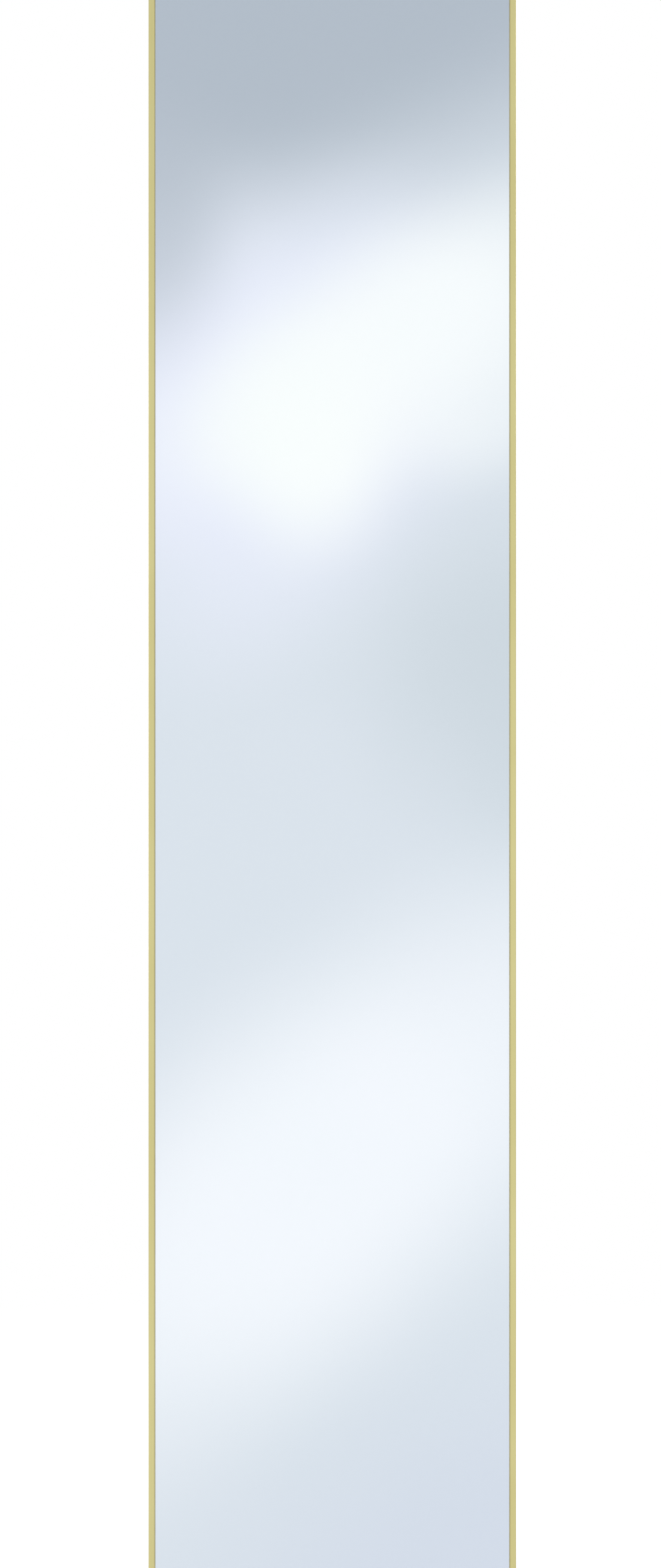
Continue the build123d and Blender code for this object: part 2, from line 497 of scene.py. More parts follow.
class Recipe:
    """The nodes of one surface or world, laid out with plain calls."""

    def __init__(self, owner: Any) -> None:
        """Starts from an empty tree.

        Args:
            owner: The material or world that owns the nodes.
        """
        owner.use_nodes = True
        self.tree = owner.node_tree
        self.tree.nodes.clear()

    def feed(self, socket: Socket, value: Any) -> None:
        """Links an input to another socket, or gives it a value.

        Args:
            socket: The input.
            value: A socket, a number, a vector, or a colour without its alpha.
        """
        if isinstance(value, Socket):
            self.tree.links.new(value, socket)
        elif isinstance(value, tuple) and len(value) == 3 and socket.type == "RGBA":
            socket.default_value = (*value, 1.0)
        else:
            socket.default_value = value

    def node(self, kind: str, inputs: dict[Any, Any] | None = None, **settings: Any) -> bpy.types.Node:
        """Adds one node.

        Args:
            kind: The shader node's kind.
            inputs: Values, or sockets to link, by input name or number.
            settings: The node's own settings.

        Returns:
            The new node.
        """
        made = self.tree.nodes.new(f"ShaderNode{kind}")
        for key, value in settings.items():
            setattr(made, key, value)
        for key, value in (inputs or {}).items():
            self.feed(made.inputs[key], value)
        return made

    def sum_up(self, operation: str, *values: Any) -> Socket:
        """Does one step of arithmetic on numbers or sockets."""
        return self.node("Math", dict(enumerate(values)), operation=operation).outputs[0]

    def grainy(self, size: float, stretch: Sequence[float] = (1, 1, 1), detail: float = 3.0) -> Socket:
        """Soft noise over the piece.

        Args:
            size: The size of its grains in metres.
            stretch: Smaller numbers draw it out along an axis.
            detail: How much finer noise is laid over it.

        Returns:
            A value about 0.5.
        """
        where = self.node("TexCoord").outputs["Object"]
        place = self.node("Mapping", {"Vector": where, "Scale": tuple(stretch)}).outputs[0]
        return self.noise(place, 1 / size, detail)

    def noise(self, place: Socket, scale: float, detail: float = 1.0) -> Socket:
        """Soft noise at a place, finer with a larger scale."""
        return self.node("TexNoise", {"Vector": place, "Scale": scale, "Detail": detail}).outputs["Fac"]

    def span(self, value: Socket, start: Spot, end: Spot, kind: str = "LINEAR") -> Socket:
        """Maps a value from one span onto another.

        Args:
            value: The value.
            start: The span it comes from.
            end: The span it goes to.
            kind: How it eases between them.

        Returns:
            The mapped value.
        """
        inputs = dict(enumerate((value, *start, *end)))
        return self.node("MapRange", inputs, interpolation_type=kind).outputs[0]

    def blend(self, share: Any, first: Any, second: Any) -> Socket:
        """Mixes two colours by a share."""
        return self.node("Mix", {0: share, 6: first, 7: second}, data_type="RGBA").outputs[2]

    def shaded(self, kind: str, **inputs: Any) -> Socket:
        """Adds a shader, with its values by input name."""
        return self.node(kind, {key.replace("_", " "): value for key, value in inputs.items()}).outputs[0]

    def layered(self, share: Socket, first: Socket, second: Socket) -> Socket:
        """Mixes two shaders by a share."""
        return self.node("MixShader", {0: share, 1: first, 2: second}).outputs[0]

    def relief(self, height: Socket, depth: float, under: Socket | None = None) -> Socket:
        """Turns a height into a bumped normal.

        Args:
            height: The height, from 0 to 1.
            depth: What a height of 1 stands for, in metres.
            under: Another relief below this one.

        Returns:
            The normal.
        """
        inputs = {"Height": height, "Distance": depth, "Strength": 1.0}
        if under is not None:
            inputs["Normal"] = under
        return self.node("Bump", inputs).outputs[0]

    def surface(self, **inputs: Any) -> None:
        """Puts the main shader on, with its values by input name."""
        self.node("OutputMaterial", {"Surface": self.shaded("BsdfPrincipled", **inputs)})


def new_finish(name: str) -> tuple[Finish, Recipe]:
    """Starts a material and the recipe for its nodes."""
    material = bpy.data.materials.new(name)
    return material, Recipe(material)


@dataclass(frozen=True)
class AnodisedGold:
    """Pale gold anodised aluminium, satin, with fine drawing lines along the rail."""

    grain: Grain
    gold: Colour = paint(245, 230, 161)
    worn_gold: Colour = paint(238, 222, 151)
    roughness: Spot = (0.29, 0.37)
    line: float = 0.12 * MM
    line_depth: float = 0.0012 * MM
    line_tone: float = 0.35  # how far a line goes over into the worn gold
    speck: float = 0.35 * MM
    speck_depth: float = 0.00072 * MM
    cloud: float = 160 * MM

    def material(self) -> Finish:
        """Makes the finish.

        Returns:
            The material.
        """
        material, recipe = new_finish(f"anodised_gold_{self.grain.name.lower()}")
        lines = recipe.grainy(self.line, self.grain.value, 4.0)
        clouds = recipe.grainy(self.cloud, detail=2.0)
        specks = recipe.grainy(self.speck, detail=1.0)
        tone = recipe.blend(recipe.span(clouds, MID_NOISE, (0, 1)), self.gold, self.worn_gold)
        tone = recipe.blend(recipe.span(lines, NOISE, (0, self.line_tone)), tone, self.worn_gold)
        recipe.surface(
            Base_Color=tone, Metallic=1.0, Roughness=recipe.span(lines, NOISE, self.roughness),
            Normal=recipe.relief(specks, self.speck_depth, recipe.relief(lines, self.line_depth)),
        )
        return material


@dataclass(frozen=True)
class FloatGlass:
    """Clear float glass: polished faces, or ground and faintly green at the edges."""

    ground: bool = False
    clear: Colour = (0.985, 0.995, 0.99)
    green: Colour = (0.78, 0.90, 0.84)
    ior: float = 1.52
    polish: Spot = (0.0, 0.004)
    wipe: float = 90 * MM
    wipe_run: Sequence[float] = (1, 1, 0.4)
    wipe_edges: Spot = (0.45, 0.75)
    ground_roughness: Spot = (0.25, 0.5)
    grit: float = 0.08 * MM
    grit_depth: float = 0.01 * MM

    def material(self) -> Finish:
        """Makes the finish.

        Returns:
            The material.
        """
        material, recipe = new_finish("ground_glass_edge" if self.ground else "float_glass")
        if self.ground:
            grit = recipe.grainy(self.grit, detail=2.0)
            look = {
                "Base_Color": self.green, "Roughness": recipe.span(grit, NOISE, self.ground_roughness),
                "Normal": recipe.relief(grit, self.grit_depth),
            }
        else:
            wipe = recipe.grainy(self.wipe, self.wipe_run, 2.0)
            look = {"Base_Color": self.clear, "Roughness": recipe.span(wipe, self.wipe_edges, self.polish)}
        recipe.surface(Transmission_Weight=1.0, IOR=self.ior, **look)
        return material


@dataclass(frozen=True)
class Hardboard:
    """Smooth brown hardboard: pressed fibres with a faint sheen."""

    brown: Colour = paint(146, 113, 80)
    dark_brown: Colour = paint(117, 87, 60)
    pale_fibre: Colour = paint(188, 152, 112)
    dark_fibre: Colour = paint(78, 55, 38)
    roughness: Spot = (0.46, 0.68)
    cloud: float = 70 * MM
    cloud_tone: float = 0.55
    pulp: float = 1.6 * MM
    pulp_edges: Spot = (0.35, 0.75)
    pulp_tone: float = 0.5
    pulp_depth: float = 0.05 * MM
    felt: float = 0.35 * MM
    felt_depth: float = 0.03 * MM
    fibre_edge: float = 0.12
    fibre_tone: float = 0.34

    def material(self) -> Finish:
        """Makes the finish.

        Returns:
            The material.
        """
        material, recipe = new_finish("hardboard")
        clouds = recipe.grainy(self.cloud, detail=4.0)
        pulp = recipe.grainy(self.pulp, detail=5.0)
        tone = recipe.blend(recipe.span(clouds, NOISE, (0, self.cloud_tone)), self.brown, self.dark_brown)
        tone = recipe.blend(recipe.span(pulp, self.pulp_edges, (0, self.pulp_tone)), tone, self.dark_brown)
        for run, size, low, fibre in (
            ((0.2, 1, 1.0), 0.45 * MM, 0.58, self.pale_fibre),
            ((1.0, 1, 0.18), 0.4 * MM, 0.6, self.dark_fibre),
            ((0.5, 1, 0.5), 0.32 * MM, 0.6, self.pale_fibre),
        ):
            strands = recipe.grainy(size, run, 2.0)
            share = recipe.span(strands, (low, low + self.fibre_edge), (0, self.fibre_tone))
            tone = recipe.blend(share, tone, fibre)
        felt = recipe.grainy(self.felt)
        recipe.surface(
            Base_Color=tone,
            Roughness=recipe.span(pulp, NOISE, self.roughness),
            Normal=recipe.relief(felt, self.felt_depth, recipe.relief(pulp, self.pulp_depth)),
        )
        return material


@dataclass(frozen=True)
class Metal:
    """A bare, plated or blued metal: patches of two tones, a third in places, and fine marks."""

    name: str
    tones: tuple[Colour, Colour]
    roughness: Spot
    patch: float = 6 * MM
    patch_edges: Spot = MID_NOISE
    tinge: Colour | None = None
    tinge_edges: Spot = (0.6, 0.75)
    tinge_tone: float = 0.6
    mark: float = 0.15 * MM
    mark_run: Sequence[float] = (1, 1, 0.08)
    mark_depth: float = 0.002 * MM

    def material(self) -> Finish:
        """Makes the finish.

        Returns:
            The material.
        """
        material, recipe = new_finish(self.name)
        patches = recipe.grainy(self.patch, detail=4.0)
        tone = recipe.blend(recipe.span(patches, self.patch_edges, (0, 1)), *self.tones)
        if self.tinge:
            tinged = recipe.span(patches, self.tinge_edges, (0, self.tinge_tone))
            tone = recipe.blend(tinged, tone, self.tinge)
        look = {"Base_Color": tone, "Roughness": recipe.span(patches, NOISE, self.roughness)}
        if self.mark_depth:
            look["Normal"] = recipe.relief(recipe.grainy(self.mark, self.mark_run, 2.0), self.mark_depth)
        recipe.surface(Metallic=1.0, **look)
        return material


@dataclass(frozen=True)
class SoftMatter:
    """Rubber, foam, film or a tacky pad: two close tones and a fine, soft grain."""

    name: str
    tones: tuple[Colour, Colour]
    haze: float
    grain: float
    depth: float
    roughness: Spot
    haze_edges: Spot = (0.35, 0.7)

    def material(self) -> Finish:
        """Makes the finish.

        Returns:
            The material.
        """
        material, recipe = new_finish(self.name)
        haze = recipe.grainy(self.haze)
        recipe.surface(
            Base_Color=recipe.blend(recipe.span(haze, self.haze_edges, (0, 1)), *self.tones),
            Roughness=recipe.span(haze, NOISE, self.roughness),
            Normal=recipe.relief(recipe.grainy(self.grain, detail=2.0), self.depth),
        )
        return material


def made_from(finish: FloatGlass | Hardboard | Metal | SoftMatter) -> Any:
    """A field of Finishes whose material is made when the Finishes are."""
    return field(default_factory=finish.material)


@dataclass
class Finishes:
    """Every finish of the mirror, made once."""

    gold: dict[Grain, Finish] = field(
        default_factory=lambda: {grain: AnodisedGold(grain).material() for grain in Grain}
    )
    glass: Finish = made_from(FloatGlass())
    glass_edge: Finish = made_from(FloatGlass(ground=True))
    hardboard: Finish = made_from(Hardboard())
    silver: Finish = made_from(Metal(
        "silver", ((0.965, 0.972, 0.975), (0.955, 0.968, 0.97)), (0.0, 0.003), patch=240 * MM, mark_depth=0.0,
    ))
    sawn: Finish = made_from(Metal(
        "sawn", (paint(205, 206, 208), paint(170, 172, 175)), (0.3, 0.5),
        patch=0.25 * MM, mark_run=(1, 0.05, 1), mark_depth=0.01 * MM,
    ))
    zinc: Finish = made_from(Metal("zinc", (paint(206, 210, 216), paint(184, 190, 200)), (0.26, 0.42)))
    zinc_screw: Finish = made_from(Metal(
        "zinc_screw", (paint(212, 214, 216), paint(190, 194, 200)), (0.2, 0.34),
    ))
    nickel: Finish = made_from(Metal("nickel", (paint(214, 209, 200), paint(196, 190, 180)), (0.16, 0.28)))
    wire: Finish = made_from(Metal("wire", (paint(218, 213, 205), paint(202, 196, 186)), (0.1, 0.2)))
    spring: Finish = made_from(Metal(
        "spring", (paint(80, 90, 114), paint(112, 126, 152)), (0.26, 0.42), patch=5 * MM,
        patch_edges=(0.3, 0.6), tinge=paint(176, 158, 128), mark=0.1 * MM, mark_run=(0.05, 1, 1),
    ))
    rubber: Finish = made_from(SoftMatter(
        "rubber", (paint(44, 44, 46), paint(66, 66, 68)), 3 * MM, 0.12 * MM, 0.015 * MM, (0.55, 0.75),
    ))
    foam: Finish = made_from(SoftMatter(
        "foam", (paint(242, 242, 238), paint(226, 226, 222)), 0.6 * MM, 0.6 * MM, 0.08 * MM, (0.7, 0.9),
    ))
    film: Finish = made_from(SoftMatter(
        "film", (paint(232, 233, 235), paint(222, 224, 227)), 4 * MM, 4 * MM, 0.01 * MM, (0.3, 0.42),
    ))
    pad: Finish = made_from(SoftMatter(
        "pad", (paint(206, 205, 198), paint(184, 183, 176)), 0.5 * MM, 0.5 * MM, 0.04 * MM, (0.6, 0.8),
    ))


# The mirror's own pieces


@dataclass
class Layout:
    """The mirror's overall sizes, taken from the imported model."""

    width: float = cad_high.x - cad_low.x - 2 * HAIR
    height: float = cad_high.z - cad_low.z - 2 * HAIR
    front: float = cad_low.y + HAIR
    rear_of_frame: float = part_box("rail_left")[1].y
    middle: float = (cad_low.z + cad_high.z) / 2
    channel_centre: float = 6.7 * MM

    @property
    def hanger_across(self) -> float:
        """How far the hangers and bumpers stand from the middle."""
        return self.width / 2 - self.channel_centre

    def to_side(self, side: Side) -> Matrix:
        """Works out the move from a rail's own drawing, inward along X and lengthwise along Z.

        Args:
            side: The rail's side.

        Returns:
            The move to the rail's place.
        """
        reach = self.width / 2 if side.upright else self.height / 2
        to_middle = Matrix.Translation((0, self.front, self.middle))
        return to_middle @ spun("Y", side.value) @ Matrix.Translation((-reach, 0, 0))

    def to_corner(self, corner: Corner) -> Matrix:
        """Works out the move from a corner's own drawing, inward along X and down along -Z.

        Args:
            corner: The corner.

        Returns:
            The move to the corner's place.
        """
        across, up = corner.signs
        place = (across * self.width / 2, 0, self.middle + up * self.height / 2)
        return Matrix.Translation(place) @ spun("Y", corner.value)


@dataclass
class FrameRails:
    """The four mitred rails, drawn as one section and cut to two lengths."""

    layout: Layout
    finishes: Finishes
    face: float = 7.0 * MM
    lip: float = 2.2 * MM
    wall: float = 1.4 * MM
    depth: float = 20.0 * MM
    web: Spot = (13.2 * MM, 14.4 * MM)
    inner_wall: Spot = (12.0 * MM, 13.2 * MM)
    rear_lip: float = 2.0 * MM
    rear_lips_at: float = 18.8 * MM
    sight_round: float = 1.8 * MM
    sight_steps: int = 10
    arris: float = 0.5 * MM
    arris_steps: int = 4
    root: float = 0.4 * MM
    root_steps: int = 3
    spare: float = 6.0 * MM
    seam: float = 0.05 * MM
    mitre_slant: float = 0.45  # the normal's X times its Z, which is 0.5 on a mitre

    def section(self, name: str, length: float) -> Piece:
        """Draws the section and extrudes it into a bar.

        Args:
            name: The bar's name.
            length: Its length between its mitres' points.

        Returns:
            The bar, its edges rounded, longer than it needs to be.
        """
        wall, rear, lips = self.wall, self.depth, self.rear_lips_at
        web_front, web_rear = self.web
        inner, outer = self.inner_wall
        start = -length / 2 - self.spare
        bar = sheet(name, (wall / 2, rear / 2, start), wall, rear, False)
        walls = (
            ((wall, 0), (wall, self.lip), (self.face - wall, 0)),
            ((wall, lips), (wall, rear), (self.rear_lip, 0)),
            ((wall, web_front), (wall, web_rear), (inner - wall, 0)),
            ((inner, web_front), (inner, web_rear), (outer - inner, 0)),
            ((inner, web_rear), (outer, web_rear), (0, lips - web_rear)),
            ((inner, lips), (outer, lips), (0, rear - lips)),
            ((inner, lips), (inner, rear), (-self.rear_lip, 0)),
        )
        arrises = ((0, 0), (0, rear), (outer, rear), (outer, web_front))
        roots = (
            (wall, self.lip), (wall, web_front), (wall, web_rear),
            (inner, web_rear), (wall, lips), (inner, lips),
        )
        rounds = [((self.face, 0), self.sight_round, self.sight_steps)]
        rounds += [(spot, self.arris, self.arris_steps) for spot in arrises]
        rounds += [(spot, self.root, self.root_steps) for spot in roots]
        with opened(bar, Pick.EDGES):
            for level in (self.lip, web_front, web_rear, lips):
                score((0, level, 0), (0, 1, 0))
            for low, high, move in walls:
                choose(bar, Pick.EDGES, within((*low, -FAR), (*high, FAR)))
                pull((*move, 0.0))
            pick_all()
            pull((0, 0, length + 2 * self.spare))
            melt()
            pick_all()
            bpy.ops.mesh.normals_make_consistent(inside=False)
            for (across, deep), radius, steps in rounds:
                choose(bar, Pick.EDGES, within((across, deep, -FAR), (across, deep, FAR)))
                round_off(radius, steps)
        return bar

    def mitred(self, name: str, length: float) -> Piece:
        """Cuts a bar to length with a mitre at each end, a hair short so that the joint shows.

        Args:
            name: The bar's name.
            length: The rail's length.

        Returns:
            The rail in its own drawing.
        """
        bar = self.section(name, length)
        with opened(bar):
            for end in (1, -1):
                slice_off((0, 0, end * (length / 2 - self.seam)), (1, 0, end))
        for face in bar.data.polygons:
            face.material_index = int(abs(face.normal.x * face.normal.z) > self.mitre_slant)
        smooth(bar)
        return bar

    def build(self) -> None:
        """Cuts the four rails and puts them in place."""
        for first, second, length in (
            (Side.LEFT, Side.RIGHT, self.layout.height), (Side.TOP, Side.BOTTOM, self.layout.width),
        ):
            grain = Grain.UPRIGHT if first.upright else Grain.LEVEL
            finishes = [self.finishes.gold[grain], self.finishes.sawn]
            drawn = self.mitred("rail_drawing", length)
            for side in (first, second):
                rail = twin(drawn, f"gold_rail_{side.label}", self.layout.to_side(side))
                hand_over(rail, finishes, f"rail_{side.label}")
            scrap(drawn)


@dataclass
class MirrorPane:
    """The silvered glass: polished front, ground edges and silver on the back."""

    finishes: Finishes
    arris: float = 0.4 * MM
    silver_gap: float = 0.05 * MM  # keeps the silver just clear of the film behind it

    def build(self) -> None:
        """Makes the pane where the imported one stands."""
        low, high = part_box("mirror_glass")
        pane = block("silvered_pane", low, (high.x, high.y - self.silver_gap, high.z))
        with opened(pane, Pick.EDGES):
            choose(pane, Pick.EDGES, lambda edge: abs(edge.verts[0].co.y - edge.verts[1].co.y) < HAIR)
            round_off(self.arris, 2)
        for face in pane.data.polygons:
            face.material_index = 0 if face.normal.y < -FACING else 2 if face.normal.y > FACING else 1
        smooth(pane, 20)
        finishes = [self.finishes.glass, self.finishes.glass_edge, self.finishes.silver]
        hand_over(pane, finishes, "mirror_glass")


@dataclass
class BackingPack:
    """The film, foam and board behind the glass, dressed as they are."""

    finishes: Finishes

    def build(self) -> None:
        """Dresses the three sheets."""
        dress("safety_film", self.finishes.film)
        dress("foam_sheet", self.finishes.foam)
        dress("backing_board", self.finishes.hardboard)


@dataclass
class SpringClips:
    """Bowed spring strips between the board and the rails' webs."""

    layout: Layout
    finishes: Finishes
    thickness: float = 0.5 * MM
    strip: float = 14.0 * MM
    setback: float = 2.0 * MM
    height: float = 2.0 * MM
    crest: float = 5.0 * MM
    feet: Spot = (14.0 * MM, 17.0 * MM)
    toe: Spot = (19.4 * MM, 0.95 * MM)
    bend: float = 0.9 * MM
    bend_steps: int = 5
    side_row: tuple[int, float] = (5, 345.0 * MM)  # how many clips, and their pitch
    end_row: tuple[int, float] = (2, 170.0 * MM)

    def clip(self) -> Piece:
        """Bends one clip, lengthwise along Z, standing on the board.

        Returns:
            The clip in a rail's own drawing, with its middle at the drawing's middle.
        """
        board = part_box("backing_board")[1].y - self.layout.front
        low = self.thickness / 2
        top = self.height - low
        bends = [
            (-self.toe[0], self.toe[1]), (-self.feet[1], low), (-self.feet[0], low), (-self.crest, top),
            (self.crest, top), (self.feet[0], low), (self.feet[1], low), (self.toe[0], self.toe[1]),
        ]
        (first, first_height), (second, second_height) = bends[:2]
        middle = (self.setback + self.strip / 2, board + first_height, (first + second) / 2)
        strip = sheet("clip_drawing", middle, self.strip, second - first, True)
        at_bends = [at_level(2, at) for at, _ in bends[1:-1]]
        with opened(strip, Pick.EDGES):
            choose(strip, Pick.POINTS, lambda point: abs(point.co.z - second) < HAIR)
            bpy.ops.transform.translate(value=(0, second_height - first_height, 0))
            for (here, low_here), (there, low_there) in zip(bends[1:], bends[2:]):
                choose(strip, Pick.EDGES, at_level(2, here))
                pull((0, low_there - low_here, there - here))
            choose(strip, Pick.EDGES, lambda edge: any(test(edge) for test in at_bends))
            round_off(self.bend, self.bend_steps)
        with_modifier(strip, "SOLIDIFY", thickness=self.thickness, offset=0.0, use_even_offset=True)
        tidy(strip)
        break_edges(strip, 0.1 * MM, 1.0)
        smooth(strip, 40)
        return strip

    def build(self) -> None:
        """Copies the clip along each rail."""
        drawn = self.clip()
        for side in Side:
            count, pitch = self.side_row if side.upright else self.end_row
            to_side = self.layout.to_side(side)
            clips = []
            for number in range(count):
                along = Matrix.Translation((0, 0, pitch * (number - (count - 1) / 2)))
                clips.append(twin(drawn, f"clip_{side.label}_{number}", to_side @ along))
            row = joined(clips, f"spring_row_{side.label}")
            hand_over(row, [self.finishes.spring], f"spring_clips_{side.label}")
        scrap(drawn)


@dataclass
class Thread:
    """A metric thread, wound as one ridge round a core."""

    radius: float = 2.0 * MM
    pitch: float = 0.7 * MM
    depth: float = 0.38 * MM
    steps: int = 28
    rise: tuple[float, float, float] = (0.12, 0.3, 0.16)  # foot, flank and crest as shares of the pitch

    def rod(self, name: str, front: float, rear: float) -> Piece:
        """Winds a threaded rod about the Y axis.

        Args:
            name: The rod's name.
            front: Where it starts.
            rear: Where it ends.

        Returns:
            The rod, closed flat at both ends.
        """
        turns = math.ceil((rear - front) / self.pitch) + 2
        foot, flank, crest = (share * self.pitch for share in self.rise)
        ridge = sheet(name, (0, 0, 0), 1, 1, False)
        with opened(ridge, Pick.POINTS):
            pick_all()
            bpy.ops.mesh.merge(type="CENTER")
            pick_all()
            bpy.ops.transform.translate(value=(self.radius - self.depth, front - self.pitch, 0))
            for out, along in ((0, foot), (self.depth, flank), (0, crest), (-self.depth, flank), (0, foot)):
                pull((out, along, 0))
        with_modifier(
            ridge, "SCREW", axis="Y", angle=2 * math.pi, screw_offset=self.pitch, iterations=turns,
            steps=self.steps, render_steps=self.steps, use_merge_vertices=True, merge_threshold=HAIR / 10,
            use_smooth_shade=False,
        )
        tidy(ridge)
        with opened(ridge):
            slice_off((0, rear, 0), (0, 1, 0))
            slice_off((0, front, 0), (0, -1, 0))
        tidy(ridge)
        return ridge


@dataclass
class CornerJoints:
    """Tapped angle plates, shims and slotted set screws in the rails' channels at each corner."""

    layout: Layout
    finishes: Finishes
    edge: float = 1.9 * MM
    leg: float = 34.0 * MM
    width: float = 9.6 * MM
    nose: float = 2.0 * MM
    crook: float = 1.0 * MM
    end_round: float = 1.2 * MM
    round_steps: int = 5
    broken_edge: float = 0.15 * MM
    hole: float = 2.05 * MM
    screws_at: Spot = (16.0 * MM, 26.5 * MM)
    slot_width: float = 0.8 * MM
    slot_depth: float = 0.9 * MM
    slot_turn: float = 37.0  # degrees from one screw's slot to the next one's

    @property
    def screw_spots(self) -> list[Spot]:
        """The four screws' places, inward and down from the outer corner."""
        line = self.edge + self.width / 2
        return [(at, line) for at in self.screws_at] + [(line, at) for at in self.screws_at]

    def angle(self, name: str, node: str, tapped: bool) -> Piece:
        """Cuts one angle piece in the top left corner's drawing.

        Args:
            name: The piece's name.
            node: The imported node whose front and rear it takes.
            tapped: Whether it has the screws' holes.

        Returns:
            The piece.
        """
        front, rear = (corner.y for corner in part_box(node))
        near, tip = self.edge, self.edge + self.leg
        inner = near + self.width
        plate = block(name, (near, front, -inner), (tip, rear, -near))
        corners = [((near, near), self.nose, 1), ((inner, inner), self.crook, self.round_steps)]
        ends = ((tip, near), (tip, inner), (near, tip), (inner, tip))
        corners += [(spot, self.end_round, self.round_steps) for spot in ends]
        with opened(plate):
            score((inner, 0, 0), (1, 0, 0))
            choose(plate, Pick.FACES, within((near, front, -inner), (inner, rear, -inner)))
            pull((0, 0, inner - tip))
            melt()
            for (across, down), radius, steps in corners:
                choose(plate, Pick.EDGES, within((across, front, -down), (across, rear, -down)))
                round_off(radius, steps)
        if tapped:
            for across, down in self.screw_spots:
                middle = (across, (front + rear) / 2, -down)
                carve(plate, disc_bar("drill", middle, self.hole, 3 * (rear - front), HOLE_SIDES))
        tidy(plate)
        break_edges(plate, self.broken_edge, 0.8)
        smooth(plate, 35)
        return plate

    def set_screw(self) -> Piece:
        """Makes one slotted set screw on the Y axis, from the shim to its slotted end.

        Returns:
            The screw.
        """
        front, rear = (corner.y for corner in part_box("corner_screws"))
        screw = Thread().rod("set_screw_drawing", front, rear)
        reach = 3 * self.slot_width
        low = (-reach, rear - self.slot_depth, -self.slot_width / 2)
        carve(screw, block("screw_slot", low, (reach, rear + self.slot_depth, self.slot_width / 2)))
        tidy(screw)
        smooth(screw)
        return screw

    def build(self) -> None:
        """Makes the plates, shims and screws of all four corners."""
        plate = self.angle("plate_drawing", "corner_plate_top_left", True)
        shim = self.angle("shim_drawing", "corner_shim_top_left", False)
        screw = self.set_screw()
        screws = []
        for corner in Corner:
            place = self.layout.to_corner(corner)
            for drawn, kind in ((plate, "plate"), (shim, "shim")):
                piece = twin(drawn, f"angle_{kind}_{corner.label}", place)
                hand_over(piece, [self.finishes.zinc], f"corner_{kind}_{corner.label}")
            for across, down in self.screw_spots:
                turn = spun("Y", self.slot_turn * len(screws) % 180)
                at = place @ Matrix.Translation((across, 0, -down)) @ turn
                screws.append(twin(screw, f"set_screw_{len(screws)}", at))
        hand_over(joined(screws, "set_screws"), [self.finishes.zinc_screw], "corner_screws")
        scrap(plate, shim, screw)


